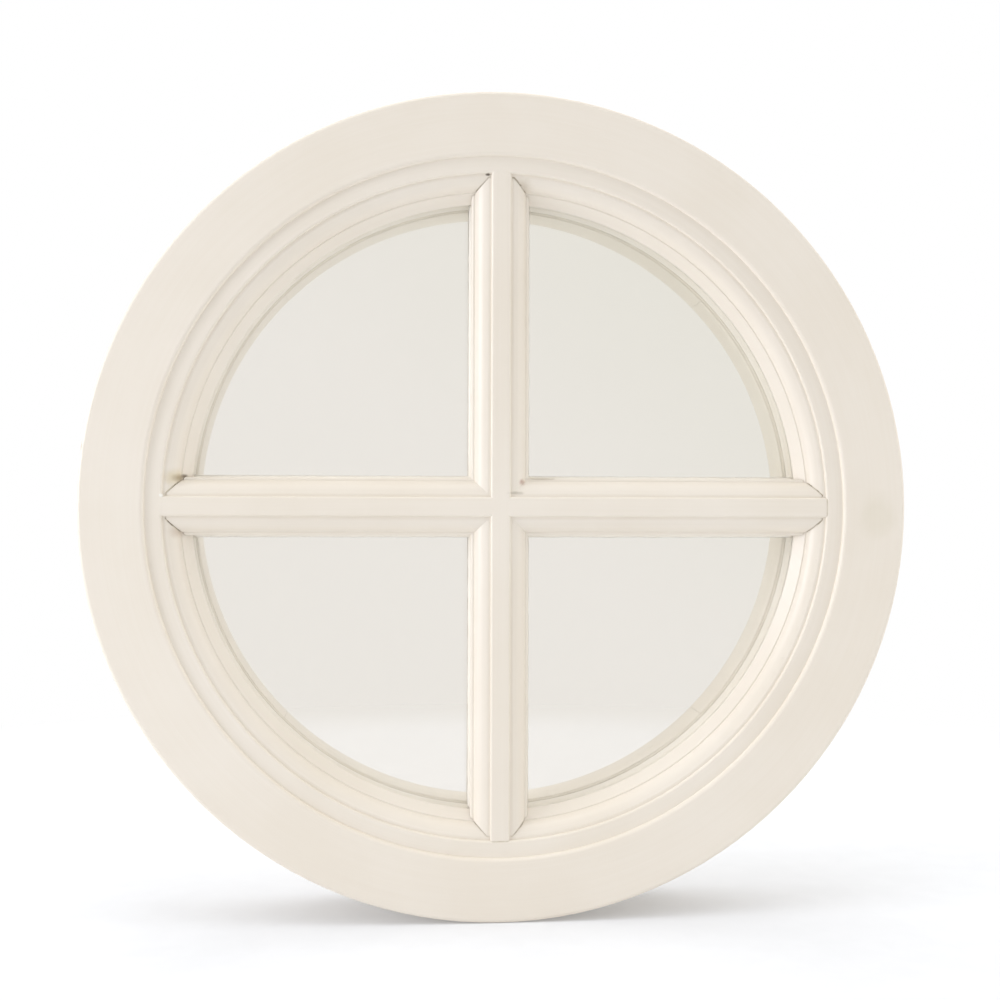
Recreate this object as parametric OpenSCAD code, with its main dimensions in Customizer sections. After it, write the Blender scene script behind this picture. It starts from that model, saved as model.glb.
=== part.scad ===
// Round fixed window: a moulded timber ring, a sealed double glazing unit
// and a cross of glazing bars on both faces of the glass.
// The front faces -Y, up is +Z, and the origin is the middle of the ring.

/* [Frame ring] */
// Outside diameter of the ring
frame_d = 600; // [520:1:900]
// Depth of the ring, front to back
frame_depth = 90; // [80:1:140]
// Width of the outer flat face
face_w = 43.5; // [30:0.5:60]
// Radius of the quarter-round step inside the outer face
step_r = 3; // [2:0.25:5]
// Width of the inner flat band, level with the bars
band_w = 12.2; // [8:0.2:25]
// Radius of the outer edges, front and back
edge_r = 3; // [1:0.5:6]

/* [Moulding on ring and bars] */
// Height of the upright fillet
fillet_h = 2.2; // [1.2:0.1:4]
// Width of the quirk between fillet and ovolo
quirk_w = 2; // [1:0.1:2.6]
// Width of the ovolo
ovolo_w = 9.3; // [7:0.1:9.5]
// Height of the ovolo
ovolo_h = 8; // [6:0.1:9]
// Rise of the ovolo's curve above its chord
ovolo_bulge = 1.6; // [0.6:0.1:1.9]
// Radius of the eased arrises under the paint
ease_r = 1.8; // [0.3:0.1:2]

/* [Lip and rebate] */
// Width of the ledge at the foot of the ring's ovolo
ledge_w = 1; // [0.5:0.1:4]
// Width of the bevel from the ledge to the sight line
lip_w = 6.5; // [3:0.1:12]
// Height of the lip's plain inner edge
lip_edge = 1.5; // [0.8:0.1:2.5]
// Depth of the rebate's shoulder behind the front face
shoulder_y = 21; // [19:0.5:28]
// Width of the rebate behind the lip
rebate_w = 18; // [16:0.5:24]

/* [Glazing unit] */
// Thickness of each pane
glass_t = 4; // [3:0.5:6]
// Space between the panes
cavity = 16; // [10:1:20]
// Size of the bevelled arris on the panes' edges
glass_arris = 0.5; // [0.2:0.1:1]
// Room between the unit's edge and the rebate
glass_room = 4; // [3:0.5:6]
// Width of the spacer between the panes
spacer_w = 8; // [4:0.5:9]
// Bevel on the spacer's outer corners
spacer_bevel = 2; // [1:0.25:3]
// Width of the sealant outside the spacer
edge_seal_w = 5; // [2:0.5:6]
// Thickness of the glazing tapes
tape_t = 3; // [2:0.5:5]
// Width of the glazing tapes
tape_w = 11.5; // [6:0.5:12]
// Set-back of the tapes from the sight line
tape_inset = 1.5; // [0.5:0.25:2.5]

/* [Blocks] */
// Length of each block round the glazing unit
block_l = 50; // [20:1:80]
// Clearance at each face of a block
block_play = 0.1; // [0.05:0.05:0.4]
// Places of the two setting blocks, either side of the foot
setting_turn = 30; // [15:1:45]
// Places of the upper location blocks, either side of the top
location_turn = 30; // [15:1:60]

/* [Glazing beads] */
// Set-back of the beads from the back of the ring
bead_back = 1; // [0:0.25:4]
// Clearance between the beads and the rebate
bead_play = 0.3; // [0.1:0.05:0.6]
// Open joint between two beads
bead_joint = 0.15; // [0.1:0.05:1]
// Radius of the beads' inner back edge
bead_round = 4; // [1:0.5:8]
// Diameter of the bead pins
pin_d = 1.8; // [1.2:0.1:3]
// Length of the bead pins
pin_l = 40; // [25:1:50]
// Depth at which the pins' heads are sunk and filled
pin_cover = 1.5; // [0.5:0.1:4]
// Clearance of the pins in their holes
pin_play = 0.05; // [0.02:0.01:0.2]
// Pins in each bead
pins_per_bead = 4; // [2:1:6]

/* [Glazing bars] */
// Width of a bar on the glass
bar_w = 42; // [40:0.5:60]
// Width of a bar's flat top
bar_flat = 14.5; // [8:0.5:16]
// Open joint under the front bars' flats, where their ends are scribed to the ring
scribe_gap = 1.2; // [0.3:0.1:2]
// Open joint where the rear bars end at the beads
butt_gap = 0.5; // [0.2:0.1:0.9]
// Thickness of the bonding tape under the bars
bar_tape_t = 1; // [0.5:0.1:1.8]
// Set-back of the bonding tape from the bars' edges
bar_tape_inset = 0.6; // [0.2:0.1:8]

/* [Cavity bars] */
// Set-back of the bars in the cavity from the edges of the glazing bars
core_inset = 0.6; // [0.2:0.1:4]
// Clearance of the cavity bars from the panes and the spacer
core_play = 0.3; // [0.1:0.05:0.8]
// Wall of the cavity bars' hollow section
core_wall = 1; // [0.5:0.1:2]

/* [Hidden] */
$fn = 96;

cream_paint = "#ece3d5";
clear_glass = "#dfe6e1";
pale_spacer = "#e6ded0";
black_sealant = "#3b3a38";
pale_tape = "#e0d8ca";
block_blue = "#5f7f9c";
steel = "#b4b4b2";

// Radii of the ring's section, from outside to inside
outer_r = frame_d / 2;
face_r = outer_r - face_w;
band_r = face_r - step_r;
arris_r = band_r - band_w;
ovolo_r = arris_r - quirk_w - ovolo_w;
ledge_r = ovolo_r - ledge_w;
sight_r = ledge_r - lip_w;
rebate_r = sight_r + rebate_w;
unit_r = rebate_r - glass_room;
spacer_out_r = unit_r - edge_seal_w;
spacer_in_r = spacer_out_r - spacer_w;
tape_in_r = sight_r + tape_inset;
bead_out_r = rebate_r - bead_play;

// Depths behind the front face, from front to back
band_y = step_r;
quirk_y = band_y + fillet_h;
ledge_y = quirk_y + ovolo_h;
outer_pane_y = shoulder_y + tape_t;
cavity_y = outer_pane_y + glass_t;
inner_pane_y = cavity_y + cavity;
rear_tape_y = inner_pane_y + glass_t;
bead_y = rear_tape_y + tape_t;
bead_end_y = frame_depth - bead_back;
pin_y = (bead_y + bead_end_y) / 2;

// Radius of the eased arrises, within the fillet and within a bar's foot
foot_w = (bar_w - bar_flat) / 2 - quirk_w - ovolo_w;
arris_ease = min(ease_r, 0.85 * fillet_h);
foot_ease = min(ease_r, 0.8 * foot_w);

// A bar's height, from the bonding tape to its flat top
bar_h = outer_pane_y - bar_tape_t - band_y;
bar_reach = arris_r + band_w;
tape_half_w = bar_w / 2 - bar_tape_inset;
tape_end_r = sqrt(sight_r * sight_r - tape_half_w * tape_half_w) - bar_tape_inset;

// A cavity bar's width, depth and end
core_w = bar_w - 2 * core_inset;
core_h = cavity - 2 * core_play;
core_end_r = spacer_in_r - core_play;

bead_turn = 90;
pin_turn = bead_turn / pins_per_bead;
block_turn = block_l / unit_r * 180 / PI;

// Length taken past a face by a cut that runs through it
past = 10;

// Radius and centre of the arc from a to b that rises by bulge on their left
function arc_radius(a, b, bulge) =
    (norm(b - a) * norm(b - a) / 4 + bulge * bulge) / (2 * bulge);
function left_of(a, b) = [a.y - b.y, b.x - a.x] / norm(b - a);
function arc_centre(a, b, bulge) =
    (a + b) / 2 - left_of(a, b) * (arc_radius(a, b, bulge) - bulge);

// Puts a section drawn as [radius, depth] round the window's axis
module turned(angle = 360) {
    translate([0, -frame_depth / 2, 0])
        rotate([-90, 0, 0])
            rotate_extrude(angle = angle, $fn = 180)
                children();
}

// Places children at a clock angle, 0 at the right and 90 at the top
module at_turn(angle) {
    rotate([0, -angle, 0])
        children();
}

// The waste outside a rounded corner, with the corner at the origin
// and the wood in the first quadrant
module corner_waste(r) {
    difference() {
        square(r);
        translate([r, r])
            circle(r);
    }
}

// What is cut away to leave a fillet, a quirk and an ovolo: from an arris
// at the origin they run out along +X and down along +Y
module moulding_waste(reach) {
    top = [quirk_w, fillet_h];
    foot = top + [ovolo_w, ovolo_h];
    difference() {
        translate([0, -past])
            square([reach, past + foot.y]);
        intersection() {
            translate(arc_centre(foot, top, ovolo_bulge))
                circle(arc_radius(foot, top, ovolo_bulge));
            translate([-past, fillet_h])
                square([reach + past, ovolo_h + past]);
        }
    }
}

// The ring's blank with the moulding and the lip's bevel cut on its inner edge
module moulded_blank() {
    difference() {
        translate([sight_r, 0])
            square([outer_r - sight_r, frame_depth]);
        translate([arris_r, band_y])
            mirror([1, 0])
                moulding_waste(arris_r - sight_r);
        polygon([
            [sight_r, ledge_y],
            [ledge_r, ledge_y],
            [sight_r, shoulder_y - lip_edge]
        ]);
    }
}

// What is cut away to lower the inner band, up to the quarter-round step
module band_waste() {
    difference() {
        translate([sight_r, 0])
            square([face_r - sight_r, band_y]);
        translate([face_r, step_r])
            circle(step_r);
    }
}

// Section of the ring
module ring_section() {
    difference() {
        moulded_blank();
        band_waste();
        translate([sight_r, shoulder_y])
            square([rebate_w, frame_depth]);
        translate([outer_r, 0])
            mirror([1, 0])
                corner_waste(edge_r);
        translate([outer_r, frame_depth])
            rotate(180)
                corner_waste(edge_r);
        translate([arris_r, band_y])
            corner_waste(arris_ease);
    }
}

// Section of a bar, flat top at depth 0
module bar_section() {
    difference() {
        translate([-bar_w / 2, 0])
            square([bar_w, bar_h]);
        for (side = [0, 1])
            mirror([side, 0]) {
                translate([bar_flat / 2, 0]) {
                    moulding_waste(bar_w / 2);
                    mirror([1, 0])
                        corner_waste(arris_ease);
                }
                translate([bar_w / 2, ledge_y - band_y])
                    mirror([1, 0])
                        corner_waste(foot_ease);
            }
    }
}

// A bar of full length along Z, with its flat top at depth 0 on +Y
module upright_stock() {
    linear_extrude(2 * bar_reach, center = true)
        bar_section();
}

// A bar along X, from the middle out to one side
module arm_stock(side) {
    rotate([0, 90 * side, 0])
        linear_extrude(bar_reach)
            bar_section();
}

// What is cut away to back off a bar's end under its flat, by the open joint
module scribe_waste() {
    translate([-scribe_gap, 0])
        difference() {
            moulded_blank();
            translate([sight_r - past, -past])
                square([outer_r, past + band_y + fillet_h / 2]);
        }
}

// Places a bar on the outside of the glass and scribes it to the ring
module on_front() {
    difference() {
        translate([0, band_y - frame_depth / 2, 0])
            children();
        turned()
            moulded_blank();
        turned()
            scribe_waste();
    }
}

// Places a bar on the inside of the glass and ends it short of the beads
module on_rear() {
    difference() {
        translate([0, rear_tape_y + bar_tape_t + bar_h - frame_depth / 2, 0])
            rotate([180, 0, 0])
                children();
        turned()
            translate([sight_r - butt_gap, 0])
                square([outer_r - sight_r, frame_depth]);
    }
}

// One arm of the cross, coped over the upright
module coped_arm(side) {
    difference() {
        arm_stock(side);
        upright_stock();
    }
}

// Three strips of bonding tape under a cross of bars
module cross_tape(depth) {
    arm_start = tape_half_w + bar_tape_inset;
    translate([0, depth - frame_depth / 2, 0]) {
        translate([-tape_half_w, 0, -tape_end_r])
            cube([2 * tape_half_w, bar_tape_t, 2 * tape_end_r]);
        for (side = [0, 1])
            mirror([side, 0, 0])
                translate([arm_start, 0, -tape_half_w])
                    cube([tape_end_r - arm_start, bar_tape_t, 2 * tape_half_w]);
    }
}

// Hollow section of a cavity bar, front wall at depth 0
module core_section() {
    difference() {
        translate([-core_w / 2, 0])
            square([core_w, core_h]);
        translate([core_wall - core_w / 2, core_wall])
            square([core_w - 2 * core_wall, core_h - 2 * core_wall]);
    }
}

// Places a cavity bar between the panes and ends it short of the spacer
module in_cavity() {
    difference() {
        translate([0, cavity_y + core_play - frame_depth / 2, 0])
            children();
        turned()
            translate([core_end_r, 0])
                square([outer_r - core_end_r, frame_depth]);
    }
}

// One arm of the cross in the cavity, butted to the upright
module cavity_arm(side) {
    in_cavity()
        rotate([0, 90 * side, 0])
            translate([0, 0, core_w / 2])
                linear_extrude(spacer_in_r - core_w / 2)
                    core_section();
}

// A flat pane with a bevelled arris, its front at the given depth
module pane(depth) {
    rim = unit_r - glass_arris;
    turned()
        translate([0, depth])
            polygon([
                [0, 0],
                [rim, 0],
                [unit_r, glass_arris],
                [unit_r, glass_t - glass_arris],
                [rim, glass_t],
                [0, glass_t]
            ]);
}

module spacer_section() {
    neck_r = spacer_out_r - spacer_bevel;
    translate([0, cavity_y])
        polygon([
            [spacer_in_r, 0],
            [neck_r, 0],
            [spacer_out_r, spacer_bevel],
            [spacer_out_r, cavity - spacer_bevel],
            [neck_r, cavity],
            [spacer_in_r, cavity]
        ]);
}

module glazing_tape(depth) {
    turned()
        translate([tape_in_r, depth])
            square([tape_w, tape_t]);
}

// One block between the glazing unit and the rebate
module block_at(angle) {
    at_turn(angle - block_turn / 2)
        turned(-block_turn)
            translate([unit_r + block_play, outer_pane_y])
                square([glass_room - 2 * block_play, bead_y - tape_t - outer_pane_y]);
}

module bead_section() {
    difference() {
        translate([sight_r, bead_y])
            square([bead_out_r - sight_r, bead_end_y - bead_y]);
        translate([sight_r, bead_end_y])
            mirror([0, 1])
                corner_waste(bead_round);
    }
}

// The pins of one bead, grown by play for their holes
module pins_at(angle, play = 0) {
    for (i = [0 : pins_per_bead - 1])
        at_turn(angle + (i + 0.5) * pin_turn - bead_turn / 2)
            translate([sight_r + pin_cover - play, pin_y - frame_depth / 2, 0])
                rotate([0, 90, 0])
                    cylinder(d = pin_d + 2 * play, h = pin_l + 2 * play, $fn = 24);
}

// One quarter of the beading, with its middle at the given clock angle
module bead_at(angle) {
    joint_turn = bead_joint / sight_r * 180 / PI;
    span = bead_turn - joint_turn;
    difference() {
        at_turn(angle - span / 2)
            turned(-span)
                bead_section();
        pins_at(angle, pin_play);
    }
}

module frame_ring() {
    color(cream_paint)
        difference() {
            turned()
                ring_section();
            for (angle = [0 : bead_turn : 360 - bead_turn])
                pins_at(angle, pin_play);
        }
}

module outer_pane() {
    color(clear_glass, 0.35)
        pane(outer_pane_y);
}

module inner_pane() {
    color(clear_glass, 0.35)
        pane(inner_pane_y);
}

module spacer_ring() {
    color(pale_spacer)
        turned()
            spacer_section();
}

module edge_seal() {
    color(black_sealant)
        turned()
            difference() {
                translate([spacer_out_r - spacer_bevel, cavity_y])
                    square([edge_seal_w + spacer_bevel, cavity]);
                spacer_section();
            }
}

module front_glazing_tape() {
    color(pale_tape)
        glazing_tape(shoulder_y);
}

module rear_glazing_tape() {
    color(pale_tape)
        glazing_tape(rear_tape_y);
}

module setting_blocks() {
    color(block_blue)
        for (side = [-1, 1])
            block_at(270 + side * setting_turn);
}

module location_blocks() {
    color(block_blue) {
        for (side = [-1, 1])
            block_at(90 + side * location_turn);
        for (angle = [0, 180])
            block_at(angle);
    }
}

module top_bead() {
    color(cream_paint)
        bead_at(90);
}

module right_bead() {
    color(cream_paint)
        bead_at(0);
}

module bottom_bead() {
    color(cream_paint)
        bead_at(270);
}

module left_bead() {
    color(cream_paint)
        bead_at(180);
}

module bead_pins() {
    color(steel)
        for (angle = [0 : bead_turn : 360 - bead_turn])
            pins_at(angle);
}

module front_upright_bar() {
    color(cream_paint)
        on_front()
            upright_stock();
}

module front_left_bar() {
    color(cream_paint)
        on_front()
            coped_arm(-1);
}

module front_right_bar() {
    color(cream_paint)
        on_front()
            coped_arm(1);
}

module front_bar_tape() {
    color(pale_tape)
        cross_tape(outer_pane_y - bar_tape_t);
}

module cavity_upright_bar() {
    color(pale_spacer)
        in_cavity()
            linear_extrude(2 * spacer_in_r, center = true)
                core_section();
}

module cavity_left_bar() {
    color(pale_spacer)
        cavity_arm(-1);
}

module cavity_right_bar() {
    color(pale_spacer)
        cavity_arm(1);
}

module rear_upright_bar() {
    color(cream_paint)
        on_rear()
            upright_stock();
}

module rear_left_bar() {
    color(cream_paint)
        on_rear()
            coped_arm(-1);
}

module rear_right_bar() {
    color(cream_paint)
        on_rear()
            coped_arm(1);
}

module rear_bar_tape() {
    color(pale_tape)
        cross_tape(rear_tape_y);
}

frame_ring();
outer_pane();
inner_pane();
spacer_ring();
edge_seal();
front_glazing_tape();
rear_glazing_tape();
setting_blocks();
location_blocks();
top_bead();
right_bead();
bottom_bead();
left_bead();
bead_pins();
front_upright_bar();
front_left_bar();
front_right_bar();
front_bar_tape();
cavity_upright_bar();
cavity_left_bar();
cavity_right_bar();
rear_upright_bar();
rear_left_bar();
rear_right_bar();
rear_bar_tape();
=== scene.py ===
import math

import bmesh
import bpy
from mathutils import Matrix, Vector, noise


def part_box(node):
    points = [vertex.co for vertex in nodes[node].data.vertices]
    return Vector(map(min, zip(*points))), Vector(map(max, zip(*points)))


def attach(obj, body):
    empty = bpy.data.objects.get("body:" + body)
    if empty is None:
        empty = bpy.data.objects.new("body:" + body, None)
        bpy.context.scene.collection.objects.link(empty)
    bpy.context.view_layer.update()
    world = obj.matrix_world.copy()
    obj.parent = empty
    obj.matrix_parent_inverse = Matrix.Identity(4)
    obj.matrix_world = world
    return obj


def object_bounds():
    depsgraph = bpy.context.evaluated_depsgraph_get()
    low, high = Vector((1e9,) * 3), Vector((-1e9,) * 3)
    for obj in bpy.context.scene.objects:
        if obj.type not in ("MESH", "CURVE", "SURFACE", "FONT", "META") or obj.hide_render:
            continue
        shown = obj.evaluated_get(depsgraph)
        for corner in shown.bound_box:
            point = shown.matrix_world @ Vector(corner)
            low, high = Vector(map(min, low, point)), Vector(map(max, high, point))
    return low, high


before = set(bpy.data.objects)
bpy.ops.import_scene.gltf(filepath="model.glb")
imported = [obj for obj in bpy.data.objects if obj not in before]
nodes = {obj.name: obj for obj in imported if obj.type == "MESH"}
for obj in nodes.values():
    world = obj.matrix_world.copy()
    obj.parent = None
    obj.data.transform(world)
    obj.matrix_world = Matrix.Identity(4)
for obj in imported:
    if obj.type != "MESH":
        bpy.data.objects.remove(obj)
cadLow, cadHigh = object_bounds()
scene = bpy.context.scene
mm = 0.001
print("frame loaded:", len(nodes), "nodes")


# small helpers for node trees

def screen(r, g, b):  # screen colour, 0 to 255, as Blender's linear colour
    def linear(v):
        v = v / 255
        return v / 12.92 if v <= 0.04045 else ((v + 0.055) / 1.055) ** 2.4
    return (linear(r), linear(g), linear(b), 1.0)


def fill(tree, node, sockets):  # links or values, by socket name or number
    for key, value in sockets.items():
        if isinstance(value, bpy.types.NodeSocket):
            tree.links.new(value, node.inputs[key])
        else:
            node.inputs[key].default_value = value


def put(tree, kind, settings, sockets):
    node = tree.nodes.new(kind)
    for key, value in settings.items():
        setattr(node, key, value)
    fill(tree, node, sockets)
    return node


def calc(tree, operation, a, b=0.0, c=0.0, clamp=False):
    settings = {"operation": operation, "use_clamp": clamp}
    return put(tree, "ShaderNodeMath", settings, {0: a, 1: b, 2: c}).outputs[0]


def vectorCalc(tree, operation, a, b):
    return put(tree, "ShaderNodeVectorMath", {"operation": operation}, {0: a, 1: b}).outputs


def ramp(tree, value, low, high, toLow=0.0, toHigh=1.0, kind="SMOOTHSTEP"):
    sockets = {0: value, 1: low, 2: high, 3: toLow, 4: toHigh}
    return put(tree, "ShaderNodeMapRange", {"interpolation_type": kind}, sockets).outputs[0]


def blend(tree, factor, a, b):
    return put(tree, "ShaderNodeMix", {"data_type": "RGBA"}, {0: factor, 6: a, 7: b}).outputs[2]


def cloud(tree, vector, scale, detail=2.0, rough=0.5):
    sockets = {"Vector": vector, "Scale": scale, "Detail": detail, "Roughness": rough}
    return put(tree, "ShaderNodeTexNoise", {}, sockets).outputs[0]


def placed(tree):  # the piece's own coordinates, which are the window's, in metres
    return put(tree, "ShaderNodeTexCoord", {}, {}).outputs["Object"]


def split(tree, vector):
    return put(tree, "ShaderNodeSeparateXYZ", {}, {0: vector}).outputs


def join(tree, x, y, z):
    return put(tree, "ShaderNodeCombineXYZ", {}, {0: x, 1: y, 2: z}).outputs[0]


def newGroup(name, inputs, outputs):
    tree = bpy.data.node_groups.new(name, "ShaderNodeTree")
    for label, kind in inputs:
        tree.interface.new_socket(name=label, in_out="INPUT", socket_type=kind)
    for label, kind in outputs:
        tree.interface.new_socket(name=label, in_out="OUTPUT", socket_type=kind)
    return tree, tree.nodes.new("NodeGroupInput").outputs, tree.nodes.new("NodeGroupOutput")


def useGroup(tree, group, sockets):
    return put(tree, "ShaderNodeGroup", {"node_tree": group}, sockets).outputs


def newMaterial(name):
    material = bpy.data.materials.new(name)
    material.use_nodes = True
    tree = material.node_tree
    tree.nodes.clear()
    shader = tree.nodes.new("ShaderNodeBsdfPrincipled")
    put(tree, "ShaderNodeOutputMaterial", {}, {"Surface": shader.outputs[0]})
    return material, tree, shader


def mixedBy(tree, amount, a, b):  # a by its amount and b by the rest
    return calc(tree, "MULTIPLY_ADD", a, amount, calc(tree, "MULTIPLY", b, 1 - amount))


def bump(tree, height, distance):
    return put(tree, "ShaderNodeBump", {}, {"Distance": distance, "Height": height}).outputs[0]


# shared effects

effectLook = {
    "driftScale": 5.0,
    "peelScale": 170.0,
    "patchScale": 34.0,
    "mottleInTone": 0.7,  # the rest comes from the brush strokes
    "patchesInGloss": 0.6,
    "strokesInHeight": 0.55,  # the rest is orange peel
    "noiseSpan": (0.3, 0.7),  # the part of a noise that tone and gloss are spread over
    "cornerShadeSamples": 12,
    "markEdge": 1.15,
}
floatKind, vectorKind = "NodeSocketFloat", "NodeSocketVector"

# lay of the brush on round pieces: across, depth, and a slow drift round the ring
ringLay, groupIn, groupOut = newGroup("ringLay", [], [("Lay", vectorKind)])
x, y, z = split(ringLay, placed(ringLay))
squares = [calc(ringLay, "POWER", part, 2.0) for part in (x, z)]
across = calc(ringLay, "SQRT", calc(ringLay, "ADD", *squares))
drift = cloud(ringLay, placed(ringLay), effectLook["driftScale"], 1.0)
fill(ringLay, groupOut, {"Lay": join(ringLay, across, y, drift)})

# a brushed coat: tone, gloss and brush marks that run along the lay's third axis
brushedCoat, groupIn, groupOut = newGroup(
    "brushedCoat",
    [("Lay", vectorKind), ("Fineness", floatKind), ("Drift", floatKind), ("Mottle", floatKind)],
    [("Tone", floatKind), ("Gloss", floatKind), ("Height", floatKind)])
stretch = join(brushedCoat, groupIn["Fineness"], groupIn["Fineness"], groupIn["Drift"])
strokes = vectorCalc(brushedCoat, "MULTIPLY", groupIn["Lay"], stretch)[0]
strokes = cloud(brushedCoat, strokes, 1.0, 3.0, 0.55)
peel = cloud(brushedCoat, placed(brushedCoat), effectLook["peelScale"])
mottle = cloud(brushedCoat, placed(brushedCoat), groupIn["Mottle"], 3.0, 0.55)
patches = cloud(brushedCoat, placed(brushedCoat), effectLook["patchScale"], 3.0, 0.6)
fill(brushedCoat, groupOut, {
    "Tone": mixedBy(brushedCoat, effectLook["mottleInTone"], mottle, strokes),
    "Gloss": mixedBy(brushedCoat, effectLook["patchesInGloss"], patches, strokes),
    "Height": mixedBy(brushedCoat, effectLook["strokesInHeight"], strokes, peel),
})

# painted shade: a brown darkening where surfaces meet, by how closed in each point is
paintedCornerShade, groupIn, groupOut = newGroup(
    "paintedCornerShade", [("Reach", floatKind), ("Sharp", floatKind)], [("Mask", floatKind)])
settings = {"samples": effectLook["cornerShadeSamples"]}
openness = put(paintedCornerShade, "ShaderNodeAmbientOcclusion", settings, {"Distance": groupIn["Reach"]})
closed = calc(paintedCornerShade, "SUBTRACT", 1.0, openness.outputs["AO"], clamp=True)
fill(paintedCornerShade, groupOut, {"Mask": calc(paintedCornerShade, "POWER", closed, groupIn["Sharp"])})

# scattered dust nibs and specks
specks, groupIn, groupOut = newGroup(
    "specks", [("Spacing", floatKind), ("Size", floatKind), ("Share", floatKind)], [("Mask", floatKind)])
cell = put(specks, "ShaderNodeTexVoronoi", {}, {"Vector": placed(specks), "Scale": groupIn["Spacing"]})
chance = put(specks, "ShaderNodeSeparateColor", {}, {"Color": cell.outputs["Color"]})
kept = calc(specks, "LESS_THAN", chance.outputs[0], groupIn["Share"])
spotSize = calc(specks, "MULTIPLY", groupIn["Size"], chance.outputs[1])
spot = calc(specks, "LESS_THAN", cell.outputs["Distance"], spotSize)
fill(specks, groupOut, {"Mask": calc(specks, "MULTIPLY", spot, kept)})

# one mark at a place: a soft oval with a ragged edge
oneMark, groupIn, groupOut = newGroup(
    "oneMark",
    [("Centre", vectorKind), ("Half", vectorKind), ("Ragged", floatKind), ("Grain", floatKind),
     ("Core", floatKind)],
    [("Mask", floatKind)])
offset = vectorCalc(oneMark, "SUBTRACT", placed(oneMark), groupIn["Centre"])[0]
reach = vectorCalc(oneMark, "DIVIDE", offset, groupIn["Half"])[0]
reach = put(oneMark, "ShaderNodeVectorMath", {"operation": "LENGTH"}, {0: reach}).outputs["Value"]
jag = calc(oneMark, "SUBTRACT", cloud(oneMark, placed(oneMark), groupIn["Grain"], 3.0), 0.5)
reach = calc(oneMark, "MULTIPLY_ADD", jag, groupIn["Ragged"], reach)
fill(oneMark, groupOut, {"Mask": ramp(oneMark, reach, effectLook["markEdge"], groupIn["Core"])})
print("shared effects ready")


# painted wood

paintLook = {
    "cream": screen(238, 229, 215),
    "pale": screen(242, 234, 222),
    # the inside coat is whiter than the outside: an off-white coat, and painted light for the reveals
    # behind the glass, which get little light
    "insideCream": screen(249, 243, 232),
    "insidePale": screen(251, 247, 238),
    # painted shade where surfaces meet: its colour, reach, sharpness, and amount outside and inside
    "cornerShade": screen(128, 108, 84),
    "cornerShadeReach": 1.5 * mm,
    "cornerShadeSharp": 4.5,
    "cornerShadeAmount": 0.45,
    "insideCornerShade": 0.25,
    "rough": (0.30, 0.42),
    "brushFineness": 520.0,
    "brushDrift": 6.0,
    "mottle": 9.0,
    "brushDepth": 0.05 * mm,
    "nibs": {"Spacing": 70.0, "Size": 0.03, "Share": 0.12},
    "nibHeight": 0.8,
    "primer": screen(216, 206, 191),  # thin primer coat on the ring's outer edge, which is built in; darker than the full coat, it is also painted shade against the strong side light there
    "primerEdge": (41.4 * mm, 43.4 * mm),  # depths either way over which it gives way to the full coat
    "primerShadeRadius": 297.5 * mm,
}

# marks of use and painted shade: place, half size, size of the full core, raggedness and grain of the edge,
# colour, strength
# painted shadow: a dark spot in the gap at the top end of the upright, on its left
topGapShadow = {"centre": (-0.0099, -0.040, 0.2404), "half": (0.0021, 0.01, 0.0010), "core": 0.4,
           "ragged": 0.7, "grain": 600.0, "colour": screen(96, 84, 68), "amount": 0.9}
ringMarksAndShade = [
    {"centre": (0.278, -0.045, -0.0066), "half": (0.017, 0.03, 0.019), "core": 0.3,
     "ragged": 0.9, "grain": 60.0, "colour": screen(226, 218, 199), "amount": 0.4},
    {"centre": (-0.298, -0.043, 0.043), "half": (0.003, 0.006, 0.006), "core": 0.5,
     "ragged": 0.8, "grain": 400.0, "colour": screen(186, 172, 148), "amount": 0.5},
    # painted shade, brownish, on the ring beside the scribed bar ends: the left arm above and below, and
    # the upright's top
    {"centre": (-0.2335, -0.033, 0.0205), "half": (0.0095, 0.02, 0.0072), "core": 0.0,
     "ragged": 0.5, "grain": 180.0, "colour": screen(214, 196, 152), "amount": 0.62},
    {"centre": (-0.2300, -0.033, 0.0202), "half": (0.0062, 0.02, 0.0034), "core": 0.0,
     "ragged": 0.5, "grain": 300.0, "colour": screen(150, 130, 96), "amount": 0.62},
    {"centre": (-0.2266, -0.032, 0.0213), "half": (0.0028, 0.02, 0.0019), "core": 0.1,
     "ragged": 0.5, "grain": 500.0, "colour": screen(112, 94, 70), "amount": 0.85},
    {"centre": (-0.2310, -0.033, -0.0185), "half": (0.0075, 0.02, 0.0050), "core": 0.1,
     "ragged": 0.6, "grain": 220.0, "colour": screen(205, 184, 164), "amount": 0.5},
    {"centre": (0.0155, -0.035, 0.2330), "half": (0.0085, 0.02, 0.0068), "core": 0.1,
     "ragged": 0.6, "grain": 220.0, "colour": screen(198, 182, 158), "amount": 0.5},
    topGapShadow,
]
barMarksAndShade = [
    {"centre": (0.0158, -0.035, 0.0180), "half": (0.0028, 0.02, 0.0028), "core": 0.0,
     "ragged": 0.9, "grain": 600.0, "colour": screen(180, 138, 120), "amount": 0.72},
    # painted shadow in the open gap along the right arm's upper foot, and painted shade at the upper right
    # mitre
    {"centre": (0.0305, -0.03, 0.0204), "half": (0.0150, 0.02, 0.0009), "core": 0.2,
     "ragged": 0.8, "grain": 300.0, "colour": screen(160, 144, 120), "amount": 0.55},
    {"centre": (0.0112, -0.040, 0.0100), "half": (0.0072, 0.01, 0.0015), "core": 0.0,
     "ragged": 0.7, "grain": 300.0, "colour": screen(168, 158, 138), "amount": 0.55},
    topGapShadow,
]


def outerEdge(tree):  # the ring's outer edge, up to where its corners are rounded
    across, depth = split(tree, roundLay(tree))[:2]
    near = ramp(tree, calc(tree, "ABSOLUTE", depth), *paintLook["primerEdge"], 1.0, 0.0)
    return calc(tree, "MULTIPLY", near, calc(tree, "GREATER_THAN", across, paintLook["primerShadeRadius"]))


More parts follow.
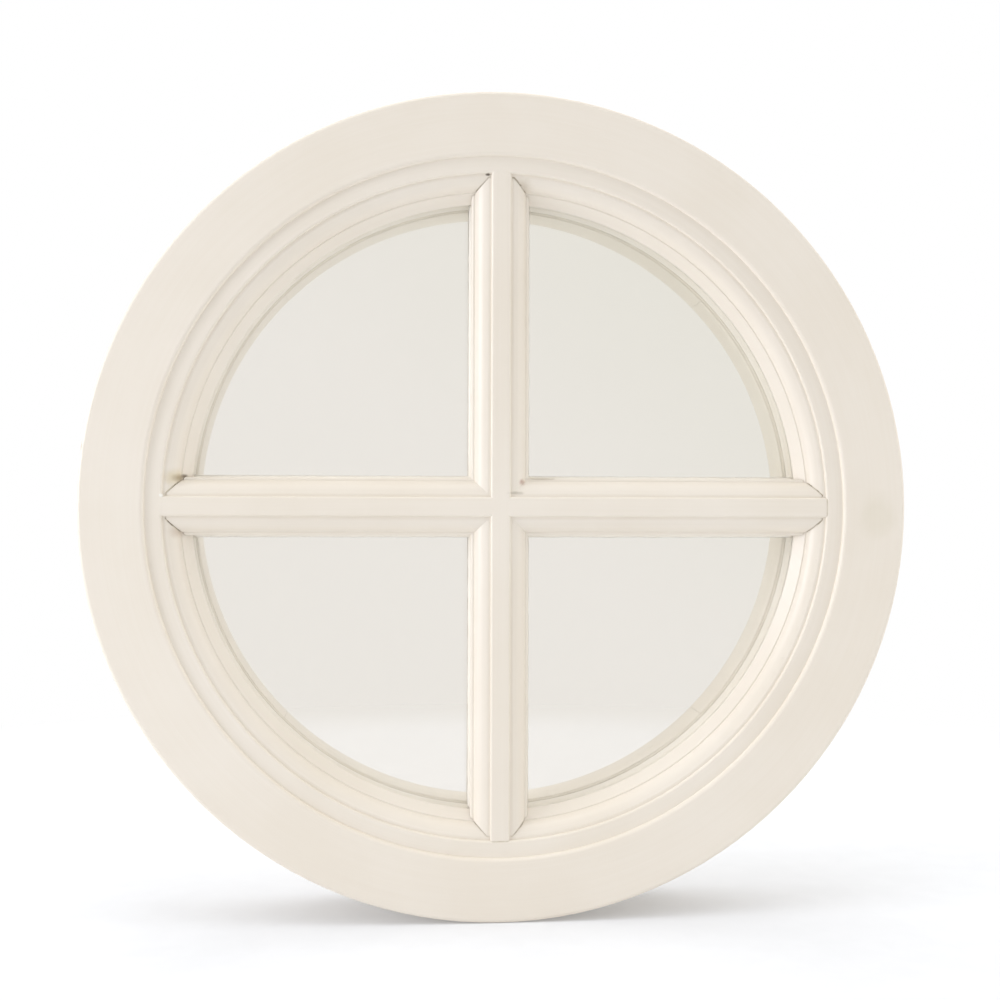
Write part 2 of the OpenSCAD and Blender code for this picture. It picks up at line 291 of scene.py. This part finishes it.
def paintMaterial(name, laySource, marks, cream, pale, shadeAmount, primedShade=None):
    look = paintLook
    material, tree, shader = newMaterial(name)
    coat = useGroup(tree, brushedCoat, {
        "Lay": laySource(tree), "Fineness": look["brushFineness"], "Drift": look["brushDrift"],
        "Mottle": look["mottle"]})
    cornerShade = useGroup(tree, paintedCornerShade, {"Reach": look["cornerShadeReach"], "Sharp": look["cornerShadeSharp"]})
    nibs = useGroup(tree, specks, look["nibs"])
    shade = blend(tree, ramp(tree, coat["Tone"], *effectLook["noiseSpan"]), cream, pale)
    # the outer edge takes the primer tone, which is also painted shade
    if primedShade:
        shade = blend(tree, primedShade(tree), shade, look["primer"])
    # painted shade in corners, creases and gaps
    shade = blend(tree, calc(tree, "MULTIPLY", cornerShade["Mask"], shadeAmount), shade, look["cornerShade"])
    for mark in marks:
        sockets = {key.capitalize(): mark[key] for key in ("centre", "half", "ragged", "grain", "core")}
        spot = useGroup(tree, oneMark, sockets)
        shade = blend(tree, calc(tree, "MULTIPLY", spot["Mask"], mark["amount"]), shade, mark["colour"])
    rough = ramp(tree, coat["Gloss"], *effectLook["noiseSpan"], *look["rough"], "LINEAR")
    raised = calc(tree, "MULTIPLY_ADD", nibs["Mask"], look["nibHeight"], coat["Height"])
    fill(tree, shader, {
        "Base Color": shade, "Roughness": rough, "Normal": bump(tree, raised, look["brushDepth"])})
    return material


def roundLay(tree):
    return useGroup(tree, ringLay, {})["Lay"]


def armLay(tree):  # the arms run along X, so X becomes the slow axis
    x, y, z = split(tree, placed(tree))
    return join(tree, z, y, x)


outside = [paintLook[key] for key in ("cream", "pale", "cornerShadeAmount")]
inside = [paintLook[key] for key in ("insideCream", "insidePale", "insideCornerShade")]
ringPaint = paintMaterial("ringPaint", roundLay, ringMarksAndShade, *outside, outerEdge)
uprightPaint = paintMaterial("uprightPaint", placed, barMarksAndShade, *outside)
armPaint = paintMaterial("armPaint", armLay, barMarksAndShade, *outside)
beadPaint = paintMaterial("beadPaint", roundLay, [], *inside)
insideUprightPaint = paintMaterial("insideUprightPaint", placed, [], *inside)
insideArmPaint = paintMaterial("insideArmPaint", armLay, [], *inside)
print("paint ready")


# glass

glassLook = {
    "tint": (0.905, 0.887, 0.857, 1.0),
    "shadedTint": (0.884, 0.870, 0.829, 1.0),  # painted shade: the glass darker towards the upper right
    "shadeSpan": (-0.02, 0.25),
    "shadeTowards": (0.6, 0.8),  # across and up
    "shadeScale": 7.0,
    "shadeBroken": 0.12,
    "speck": (0.78, 0.76, 0.72, 1.0),
    "dust": {"Spacing": 38.0, "Size": 0.05, "Share": 0.10},
    "smear": 0.003,
    "smearScale": 11.0,
    "smearSpan": (0.45, 0.75),
    "ior": 1.5,
}

clearGlass, tree, shader = newMaterial("clearGlass")
dust = useGroup(tree, specks, glassLook["dust"])
# painted shade across the glass, darker towards the upper right
x, y, z = split(tree, placed(tree))
across, upward = (calc(tree, "MULTIPLY", part, by) for part, by in zip((x, z), glassLook["shadeTowards"]))
broken = calc(tree, "SUBTRACT", cloud(tree, placed(tree), glassLook["shadeScale"]), 0.5)
shadeGradient = calc(tree, "MULTIPLY_ADD", broken, glassLook["shadeBroken"], calc(tree, "ADD", across, upward))
shadeGradient = ramp(tree, shadeGradient, *glassLook["shadeSpan"])
tint = blend(tree, shadeGradient, glassLook["tint"], glassLook["shadedTint"])
tint = blend(tree, dust["Mask"], tint, glassLook["speck"])
smear = cloud(tree, placed(tree), glassLook["smearScale"], 4.0, 0.6)
smear = ramp(tree, smear, *glassLook["smearSpan"], 0.0, glassLook["smear"])
fill(tree, shader, {
    "Base Color": tint, "Roughness": smear, "IOR": glassLook["ior"], "Transmission Weight": 1.0})
# room light passes the panes to what lies behind them
path = put(tree, "ShaderNodeLightPath", {}, {}).outputs
passing = calc(tree, "MAXIMUM", path["Is Shadow Ray"], path["Is Diffuse Ray"])
through = put(tree, "ShaderNodeBsdfTransparent", {}, {"Color": (1.0, 1.0, 1.0, 1.0)})
either = put(tree, "ShaderNodeMixShader", {}, {0: passing, 1: shader.outputs[0], 2: through.outputs[0]})
fill(tree, tree.nodes["Material Output"], {"Surface": either.outputs[0]})


# hidden pieces of the glazing, and the painter's and glazier's leavings

plainLook = {"mottle": 25.0, "even": 0.15, "metallic": 0.0}  # where a finish below doesn't say


def plainMaterial(name, ownLook):
    look = plainLook | ownLook
    material, tree, shader = newMaterial(name)
    coat = useGroup(tree, brushedCoat, {
        "Lay": look["lay"](tree), "Fineness": look["fineness"], "Drift": look["drift"],
        "Mottle": look["mottle"]})
    tone = ramp(tree, coat["Tone"], 0.5 - look["even"], 0.5 + look["even"])
    shade = blend(tree, tone, look["colour"], look["other"])
    gloss = ramp(tree, coat["Gloss"], *effectLook["noiseSpan"], *look["rough"], "LINEAR")
    fill(tree, shader, {
        "Base Color": shade, "Roughness": gloss, "Metallic": look["metallic"],
        "Normal": bump(tree, coat["Height"], look["depth"])})
    return material


glazingLook = {
    "spacerMetal": {
        "colour": screen(243, 237, 225), "other": screen(248, 243, 233), "rough": (0.34, 0.50),
        "lay": roundLay, "fineness": 1400.0, "drift": 9.0, "depth": 0.03 * mm},
    "darkSealant": {
        "colour": screen(44, 43, 42), "other": screen(58, 56, 54), "rough": (0.52, 0.72),
        "lay": roundLay, "fineness": 300.0, "drift": 30.0, "depth": 0.15 * mm},
    "paleTape": {
        "colour": screen(236, 229, 215), "other": screen(241, 235, 223), "rough": (0.79, 0.91),
        "lay": placed, "fineness": 900.0, "drift": 900.0, "depth": 0.12 * mm},
    "creamSealant": {
        "colour": screen(245, 239, 227), "other": screen(248, 243, 233), "rough": (0.38, 0.52),
        "lay": placed, "fineness": 260.0, "drift": 260.0, "depth": 0.08 * mm},
    # joint colours: painted shadow of the scribed gaps, with soiling and old filler
    "darkJointShade": {
        "colour": screen(146, 130, 104), "other": screen(222, 211, 190), "rough": (0.55, 0.75),
        "mottle": 150.0, "even": 0.05,
        "lay": placed, "fineness": 900.0, "drift": 900.0, "depth": 0.05 * mm},
    "softJointShade": {
        "colour": screen(190, 177, 156), "other": screen(230, 220, 204), "rough": (0.45, 0.65),
        "mottle": 150.0, "even": 0.05,
        "lay": placed, "fineness": 900.0, "drift": 900.0, "depth": 0.05 * mm},
    "wornJointShade": {
        "colour": screen(206, 194, 175), "other": screen(226, 216, 200), "rough": (0.45, 0.65),
        "mottle": 160.0,
        "lay": placed, "fineness": 900.0, "drift": 900.0, "depth": 0.05 * mm},
    "whitePaintHighlight": {
        "colour": screen(246, 241, 231), "other": screen(249, 245, 237), "rough": (0.25, 0.35),
        "lay": placed, "fineness": 260.0, "drift": 260.0, "depth": 0.03 * mm},
    "blockPlastic": {
        "colour": screen(92, 124, 156), "other": screen(101, 133, 165), "rough": (0.41, 0.55),
        "lay": placed, "fineness": 700.0, "drift": 700.0, "depth": 0.05 * mm},
    "pinSteel": {
        "colour": screen(196, 196, 193), "other": screen(208, 208, 205), "rough": (0.22, 0.34),
        "metallic": 1.0,
        "lay": placed, "fineness": 2400.0, "drift": 2400.0, "depth": 0.02 * mm},
}
glazing = {name: plainMaterial(name, look) for name, look in glazingLook.items()}
print("glazing materials ready")


# each node's finish

nodeFinish = {
    ringPaint: ["frame_ring"],
    beadPaint: ["top_bead", "right_bead", "bottom_bead", "left_bead"],
    uprightPaint: ["front_upright_bar"],
    armPaint: ["front_left_bar", "front_right_bar"],
    insideUprightPaint: ["rear_upright_bar"],
    insideArmPaint: ["rear_left_bar", "rear_right_bar"],
    clearGlass: ["outer_pane", "inner_pane"],
    glazing["spacerMetal"]: ["spacer_ring", "cavity_upright_bar", "cavity_left_bar", "cavity_right_bar"],
    glazing["darkSealant"]: ["edge_seal"],
    glazing["paleTape"]: ["front_glazing_tape", "rear_glazing_tape", "front_bar_tape", "rear_bar_tape"],
    glazing["blockPlastic"]: ["setting_blocks", "location_blocks"],
    glazing["pinSteel"]: ["bead_pins"],
}
for material, names in nodeFinish.items():
    for name in names:
        mesh = nodes[name].data
        mesh.materials.clear()
        mesh.materials.append(material)
print("finishes set on", sum(len(names) for names in nodeFinish.values()), "nodes")


# small pieces that the painter and the glazier leave

def addPiece(name, points, faces, material):
    mesh = bpy.data.meshes.new(name)
    mesh.from_pydata(points, [], faces)
    form = bmesh.new()
    form.from_mesh(mesh)
    bmesh.ops.recalc_face_normals(form, faces=form.faces)
    form.to_mesh(mesh)
    form.free()
    mesh.shade_smooth()
    mesh.materials.append(material)
    piece = bpy.data.objects.new(name, mesh)
    scene.collection.objects.link(piece)
    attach(piece, "root")


def loft(name, sections, material, loop=False):  # skin over closed sections, ends capped
    count = len(sections[0])
    points = [point for section in sections for point in section]
    faces = []
    for i in range(len(sections) if loop else len(sections) - 1):
        here, there = i * count, (i + 1) % len(sections) * count
        for k in range(count):
            n = (k + 1) % count
            faces.append((here + k, here + n, there + n, there + k))
    if not loop:
        faces.append(tuple(range(count)))
        faces.append(tuple(range(len(points) - count, len(points))))
    addPiece(name, points, faces, material)


def around(angle, radius, depth):  # a point by its angle from +X towards +Z
    return Vector((radius * math.cos(angle), depth, radius * math.sin(angle)))


def innerRadius(name):
    return min(math.hypot(v.co.x, v.co.z) for v in nodes[name].data.vertices)


barLow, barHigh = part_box("front_upright_bar")
barHalf, barFace, barEnd = barHigh.x, barLow.y, barHigh.z
glassFront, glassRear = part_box("outer_pane")[0].y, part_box("inner_pane")[1].y
sightRadius = innerRadius("frame_ring")

# paint that bridges the joints between the bars' flats and the ring
bridgeLook = {
    "flatHalf": 5.45 * mm,
    "ease": 1.8 * mm,
    "reach": 1.8 * mm,
    "tuck": 0.35 * mm,
    "tuckDrop": 0.1 * mm,
    "depth": 2.4 * mm,
    "proud": 0.015 * mm,
    "sunk": 0.15 * mm,
    "easeSteps": 6,
}


def paintBridge(name, angle, sunk, material):
    look = bridgeLook
    side = Vector((-math.sin(angle), 0.0, math.cos(angle)))
    top = barFace - look["proud"] + sunk
    outline = []  # across and depth, from one flank over the flat to the other
    for flank in (-1, 1):
        arc = []
        for k in range(look["easeSteps"] + 1):
            turn = math.pi / 2 * k / look["easeSteps"]
            across = look["flatHalf"] + look["ease"] * math.sin(turn)
            arc.append((flank * across, top + look["ease"] * (1 - math.cos(turn))))
        arc.append((flank * (look["flatHalf"] + look["ease"]), barFace + look["depth"]))
        outline += arc[::-1] if flank < 0 else arc
    reach, tuck, drop = look["reach"], look["tuck"], look["tuckDrop"]
    stations = [(-tuck, drop), (0.0, 0.0), (reach / 2, 0.0), (reach, 0.0), (reach + tuck, drop)]
    sections = []
    for along, lower in stations:
        section = []
        for across, depth in outline:
            bow = barEnd - math.sqrt(barEnd ** 2 - across ** 2)  # the joint follows the ring
            section.append(around(angle, barEnd + along - bow, depth + lower) + side * across)
        sections.append(section)
    loft(name, sections, material)


# on the right and at the bottom the bridge sits lower and darker: painted shade of the joint line there
for name, degrees, sunk, material in (
        ("right", 0, bridgeLook["sunk"], glazing["wornJointShade"]), ("top", 90, 0.0, uprightPaint),
        ("left", 180, 0.0, armPaint), ("bottom", 270, bridgeLook["sunk"], glazing["wornJointShade"])):
    paintBridge("paint_bridge_" + name, math.radians(degrees), sunk, material)
print("paint bridges ready")

# painted shadow of the gaps, with soiling and old filler, along the scribed ends of the front bars
jointLook = {
    "from": 7.7 * mm,
    "to": 18.3 * mm,
    "steps": 22,
    "probe": 200.0 * mm,  # where along the bar its section is felt
    "under": 0.9 * mm,
    "over": 0.55 * mm,
    "proud": 0.06 * mm,
    "sunk": 0.3 * mm,
    "shoulder": 0.7,  # share of the width that lies proud
    "uneven": 0.6,
    "grain": 400,
    "taper": 3,
    "standOff": 1.2,  # times the front's depth, where the rays for the film start
    # the last stretch to the corner: past the lip's edge, and across
    "corner": [(4.0 * mm, 18.9 * mm), (1.8 * mm, 20.0 * mm), (0.6 * mm, 21.4 * mm)],
}
backwards = Vector((0.0, 1.0, 0.0))


def feel(node, start, direction):  # the first point of a node along a ray
    return nodes[node].ray_cast(start, direction)[1]


def scribedLine(angle, flank, bar, toCorner):
    look = jointLook
    out = around(angle, 1.0, 0.0)
    side = flank * Vector((-math.sin(angle), 0.0, math.cos(angle)))
    line = []  # along the bar and across it
    for k in range(look["steps"] + 1):
        across = look["from"] + (look["to"] - look["from"]) * k / look["steps"]
        start = out * look["probe"] + side * across + backwards * cadLow.y
        start = feel(bar, start, backwards) + backwards * look["proud"]
        line.append((feel("frame_ring", start, out).dot(out), across))
    if toCorner:
        for past, across in look["corner"]:
            line.append((math.sqrt(sightRadius ** 2 - across ** 2) + past, across))
    return line


def jointLine(name, angle, flank, line, material, width):  # a thin film on the ring's face
    look = jointLook
    out = around(angle, 1.0, 0.0)
    side = flank * Vector((-math.sin(angle), 0.0, math.cos(angle)))
    inner, proud = look["shoulder"], -look["proud"]
    shape = [(-1.0, look["sunk"]), (-inner, proud), (0.0, proud), (inner, proud), (1.0, look["sunk"])]
    sections = []
    for k, (along, across) in enumerate(line):
        before, after = line[max(k - 1, 0)], line[min(k + 1, len(line) - 1)]
        away = Vector((after[1] - before[1], before[0] - after[0])).normalized()  # towards the ring
        place = Vector((along * look["grain"], across * look["grain"], angle + flank))
        size = 1 + look["uneven"] * noise.noise(place)
        size *= width * min(1.0, (k + 0.5) / look["taper"], (len(line) - k - 0.5) / look["taper"])
        section = []
        for share, lift in shape:
            offset = away * share * size * (look["over"] if share > 0 else look["under"])
            start = out * (along + offset.x) + side * (across + offset.y)
            start += backwards * cadLow.y * look["standOff"]
            section.append(feel("frame_ring", start, backwards) + backwards * lift)
        sections.append(section)
    loft(name, sections, glazing[material])


for name, degrees, flank, bar, material, width, toCorner in (
        ("left_upper", 180, -1, "front_left_bar", "darkJointShade", 0.85, True),
        ("left_lower", 180, 1, "front_left_bar", "darkJointShade", 0.75, False),
        ("top_left", 90, 1, "front_upright_bar", "softJointShade", 0.6, False),
        ("top_right", 90, -1, "front_upright_bar", "softJointShade", 1.0, False),
        ("right_upper", 0, 1, "front_right_bar", "darkJointShade", 0.6, False),
        ("right_lower", 0, -1, "front_right_bar", "softJointShade", 0.9, False),
        ("bottom_left", 270, -1, "front_upright_bar", "softJointShade", 0.6, False),
        ("bottom_right", 270, 1, "front_upright_bar", "softJointShade", 0.7, False)):
    line = scribedLine(math.radians(degrees), flank, bar, toCorner)
    jointLine("joint_line_" + name, math.radians(degrees), flank, line, material, width)
print("joint lines ready")

# a blob of paint that ran into the corner at the left arm's end, whiter than the coat: partly a painted
# highlight
blobLook = {
    "place": (-241.6 * mm, 7.6 * mm),
    "half": (1.7 * mm, 0.45 * mm, 1.3 * mm),
    "sunk": 0.25 * mm,
    "around": 20,
    "rings": 8,
    "uneven": 0.25,
    "lumps": 1.3,
}


def paintBlob(name):
    look = blobLook
    middle = Vector((look["place"][0], barFace + look["sunk"], look["place"][1]))
    sections = []
    for ring in range(1, look["rings"]):
        lean = math.pi * ring / look["rings"]
        section = []
        for k in range(look["around"]):
            turn = math.tau * k / look["around"]
            wide = math.sin(lean)
            way = Vector((wide * math.cos(turn), -math.cos(lean), wide * math.sin(turn)))
            size = 1 + look["uneven"] * noise.noise(way * look["lumps"])
            section.append(middle + Vector([a * b * size for a, b in zip(way, look["half"])]))
        sections.append(section)
    loft(name, sections, glazing["whitePaintHighlight"])


paintBlob("paint_blob")
print("paint blob ready")

# fine sealant fillets along the bars' feet, on both faces of the glass
filletLook = {
    "front": {"out": 1.5 * mm, "up": 1.5 * mm},
    "rear": {"out": 0.4 * mm, "up": 0.5 * mm},
    "under": 0.5 * mm,
    "clear": 0.05 * mm,
    "uneven": 0.22,
    "grain": 90,
    "seeds": (3, 7),  # so that each leg and each face wavers its own way
    "step": 3 * mm,
    "curveSteps": 4,
}


def filletSection(size, scale):  # offsets out from the bar's edge and up from the glass
    look = filletLook
    section = [(-look["under"], look["clear"])]
    for k in range(look["curveSteps"] + 1):
        turn = math.pi / 2 * k / look["curveSteps"]
        up = look["clear"] + size["up"] * scale * (1 - math.cos(turn))
        section.append((size["out"] * scale * (1 - math.sin(turn)), up))
    section.append((-look["under"], look["clear"] + size["up"] * scale))
    return section


def cornerFillet(name, face, sideX, sideZ, glassY, towards):
    look = filletLook
    reach = sightRadius - barHalf
    steps = int(reach / look["step"])
    legSeed, faceSeed = look["seeds"]
    sections = []
    for leg in (0, 1):
        for k in range(steps + 1):
            along = reach * (1 - k / steps) if leg == 0 else reach * k / steps
            if leg == 1 and k == 0:
                continue
            place = Vector((along * look["grain"], sideX + legSeed * leg, sideZ + faceSeed * towards))
            scale = 1 + look["uneven"] * noise.noise(place)
            section = []
            for out, up in filletSection(look[face], scale):
                edge = barHalf + out
                far = math.sqrt(sightRadius ** 2 - edge ** 2)
                length = edge + (far - edge) * along / reach
                across, upward = (edge, length) if leg == 0 else (length, edge)
                section.append(Vector((sideX * across, glassY + towards * up, sideZ * upward)))
            sections.append(section)
    loft(name, sections, glazing["creamSealant"])


for face, glassY, towards in (("front", glassFront, -1), ("rear", glassRear, 1)):
    for corner, sideX, sideZ in (
            ("upper_left", -1, 1), ("upper_right", 1, 1), ("lower_left", -1, -1), ("lower_right", 1, -1)):
        cornerFillet("sealant_" + face + "_" + corner, face, sideX, sideZ, glassY, towards)
print("sealant fillets ready")

# sealant rings that close the tapes' edges at the lip and at the beads
# outlines: millimetres past the sight line, and the share of the tape's depth
ringSealLook = {
    "front": [(0.5, 0.02), (0.85, 0.3), (0.85, 0.7), (0.5, 0.98), (1.7, 0.98), (1.7, 0.02)],
    "rear": [(1.45, 0.02), (0.85, 0.5), (0.2, 0.98), (1.7, 0.98), (1.7, 0.02)],
    "uneven": 0.12 * mm,
    "lumps": 9.0,
    "segments": 240,
}


def sealantRing(face, tape, seed):
    look = ringSealLook
    nearY, farY = (corner.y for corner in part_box(tape))
    sections = []
    for i in range(look["segments"]):
        angle = math.tau * i / look["segments"]
        wobble = look["uneven"] * noise.noise(around(angle, look["lumps"], seed))
        section = []
        for past, share in look[face]:
            depth = nearY + (farY - nearY) * share
            section.append(around(angle, sightRadius + past * mm + wobble, depth))
        sections.append(section)
    loft("sealant_ring_" + face, sections, glazing["creamSealant"], loop=True)


sealantRing("front", "front_glazing_tape", 1.0)
sealantRing("rear", "rear_glazing_tape", 5.0)
print("sealant rings ready")

# filler over the sunk heads of the bead pins
fillerLook = {
    "radius": 2.3 * mm,
    "high": 0.12 * mm,
    "sunk": 0.3 * mm,
    "around": 20,
    "rings": 4,
    "uneven": 0.12,
    "grain": (40, 0.3, 2.0),  # from pin to pin, from ring to ring, and a seed
}


def pinFiller(name, angle, depth, bead):
    look = fillerLook
    place, normal = nodes[bead].ray_cast(Vector((0.0, depth, 0.0)), around(angle, 1.0, 0.0))[1:3]
    side = Vector((-math.sin(angle), 0.0, math.cos(angle)))
    along = normal.cross(side)
    pinToPin, ringToRing, seed = look["grain"]
    sections = []
    for ring in range(look["rings"] + 1):
        share = 1 - ring / (look["rings"] + 1)
        lift = -look["sunk"] if ring == 0 else look["high"] * (1 - share ** 2)
        uneven = look["uneven"] * noise.noise(Vector((angle * pinToPin, ring * ringToRing, seed)))
        size = look["radius"] * (1 if ring == 0 else share + 1 / (look["rings"] + 1)) * (1 + uneven)
        section = []
        for k in range(look["around"]):
            turn = math.tau * k / look["around"]
            out = side * math.cos(turn) + along * math.sin(turn)
            section.append(place + out * size + normal * lift)
        sections.append(section)
    loft(name, sections, beadPaint)


pinLow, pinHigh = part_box("bead_pins")
pinDepth = (pinLow.y + pinHigh.y) / 2
beadsInTurn = ["right_bead", "top_bead", "left_bead", "bottom_bead"]
firstStart = -45  # degrees, where the first bead starts
pinsPerBead = 4
pinCount = pinsPerBead * len(beadsInTurn)
for i in range(pinCount):
    degrees = firstStart + (i + 0.5) * 360 / pinCount
    pinFiller("pin_filler_%02d" % (i + 1), math.radians(degrees), pinDepth, beadsInTurn[i // pinsPerBead])
print("pin fillers ready")


# stage

stageLook = {
    "floorFront": -2.5,
    "floorBack": 1.15,
    "halfWidth": 4.0,
    "floorTone": (0.688, 0.703, 0.733),
    "floorRough": 0.9,
    "fibreScale": 45.0,
    "fibreTones": (0.99, 1.01),
    "floorFill": 0.18,  # what the lit paper gives back to the object
    "fadeSpan": (0.85, 1.12),  # distances over which the paper fades into the white room
}
plainWhite = (1.0, 1.0, 1.0, 1.0)


def seenDirectly(tree):  # rays from the camera, and through or off the glass
    path = put(tree, "ShaderNodeLightPath", {}, {}).outputs
    seen = calc(tree, "MAXIMUM", path["Is Camera Ray"], path["Is Glossy Ray"])
    return calc(tree, "MAXIMUM", seen, path["Is Transmission Ray"])


floorPaper, tree, shader = newMaterial("floorPaper")
fibre = cloud(tree, placed(tree), stageLook["fibreScale"], 4.0)
fibre = ramp(tree, fibre, *effectLook["noiseSpan"])
paper = [tuple(tone * part for part in stageLook["floorTone"]) + (1.0,) for tone in stageLook["fibreTones"]]
fill(tree, shader, {
    "Base Color": blend(tree, fibre, *paper), "Roughness": stageLook["floorRough"],
    "Emission Color": plainWhite, "Emission Strength": stageLook["floorFill"]})
away = put(tree, "ShaderNodeVectorMath", {"operation": "LENGTH"}, {0: placed(tree)}).outputs["Value"]
fade = calc(tree, "MULTIPLY", ramp(tree, away, *stageLook["fadeSpan"]), seenDirectly(tree))
white = put(tree, "ShaderNodeEmission", {}, {"Color": plainWhite, "Strength": 1.0})
either = put(tree, "ShaderNodeMixShader", {}, {0: fade, 1: shader.outputs[0], 2: white.outputs[0]})
fill(tree, tree.nodes["Material Output"], {"Surface": either.outputs[0]})
floorMesh = bpy.data.meshes.new("floor")
half, front, back = stageLook["halfWidth"], stageLook["floorFront"], stageLook["floorBack"]
corners = ((-half, front), (half, front), (half, back), (-half, back))
floorMesh.from_pydata([(x, y, cadLow.z) for x, y in corners], [], [(0, 1, 2, 3)])
floorMesh.materials.append(floorPaper)
floor = bpy.data.objects.new("floor", floorMesh)
scene.collection.objects.link(floor)
print("stage ready")


# light

lightLook = {
    "roomGlow": 0.22,
    "sideGlow": 1.06,  # the room beside and above, brighter than before and behind
    "fromLeft": -0.04,
    "fromAbove": 0.18,
    "roomColour": (1.0, 0.99, 0.97, 1.0),
    "lamps": {  # place, size, power, colour
        "keyLamp": ((-2.5, -0.85, 0.45), 1.25, 27.0, (0.905, 0.92, 1.0)),
        "fillLamp": ((2.5, -0.8, 0.4), 1.4, 6.2, (1.0, 0.96, 0.90)),
        "topLamp": ((0.0, -0.6, 2.2), 1.5, 6.0, (0.94, 0.97, 1.0)),
        "backLamp": ((0.0, 1.4, 1.3), 1.6, 7.0, (1.0, 0.98, 0.95)),
    },
}

world = bpy.data.worlds.new("studio")
scene.world = world
world.use_nodes = True
tree = world.node_tree
tree.nodes.clear()
# a soft room, brightest all round the window's edge
x, y, z = split(tree, put(tree, "ShaderNodeTexCoord", {}, {}).outputs["Generated"])
beside = calc(tree, "SUBTRACT", 1.0, calc(tree, "MULTIPLY", y, y))
beside = calc(tree, "MULTIPLY", beside, beside)
room = calc(tree, "MULTIPLY_ADD", beside, lightLook["sideGlow"], lightLook["roomGlow"])
room = calc(tree, "MULTIPLY_ADD", x, -lightLook["fromLeft"], room)
room = calc(tree, "MULTIPLY_ADD", z, lightLook["fromAbove"], room)
ambient = put(tree, "ShaderNodeBackground", {}, {"Color": lightLook["roomColour"], "Strength": room})
white = put(tree, "ShaderNodeBackground", {}, {"Color": plainWhite, "Strength": 1.0})
sockets = {0: seenDirectly(tree), 1: ambient.outputs[0], 2: white.outputs[0]}
either = put(tree, "ShaderNodeMixShader", {}, sockets)
put(tree, "ShaderNodeOutputWorld", {}, {"Surface": either.outputs[0]})

for name, (place, size, power, colour) in lightLook["lamps"].items():
    lampData = bpy.data.lights.new(name, "AREA")
    lampData.shape = "DISK"
    lampData.size = size
    lampData.energy = power
    lampData.color = colour
    lamp = bpy.data.objects.new(name, lampData)
    scene.collection.objects.link(lamp)
    lamp.location = place
    lamp.rotation_euler = (-Vector(place)).to_track_quat("-Z", "Y").to_euler()
print("light ready")


# camera, from the photo's circles and bar ends

cameraLook = {
    "place": (-0.0919, -1.064, 0.0017),
    "yaw": 5.1,
    "pitch": 0.18,
    "roll": 0.15,
    "focal": 1.42,  # in widths of the sensor
    "sensor": 36.0,
    "clip": (0.01, 50.0),
}

yaw, pitch, roll = (math.radians(cameraLook[key]) for key in ("yaw", "pitch", "roll"))
ahead = Vector((math.sin(yaw) * math.cos(pitch), math.cos(yaw) * math.cos(pitch), math.sin(pitch)))
right = Vector((math.cos(yaw), -math.sin(yaw), 0.0))
up = right.cross(ahead)
turnedRight = right * math.cos(roll) + up * math.sin(roll)
turnedUp = up * math.cos(roll) - right * math.sin(roll)
cameraData = bpy.data.cameras.new("camera")
cameraData.sensor_width = cameraLook["sensor"]
cameraData.lens = cameraLook["sensor"] * cameraLook["focal"]
cameraData.clip_start, cameraData.clip_end = cameraLook["clip"]
camera = bpy.data.objects.new("camera", cameraData)
scene.collection.objects.link(camera)
turn = Matrix((turnedRight, turnedUp, -ahead)).transposed()
camera.matrix_world = Matrix.Translation(cameraLook["place"]) @ turn.to_4x4()
scene.camera = camera
scene.view_settings.view_transform = "Standard"
print("camera ready")
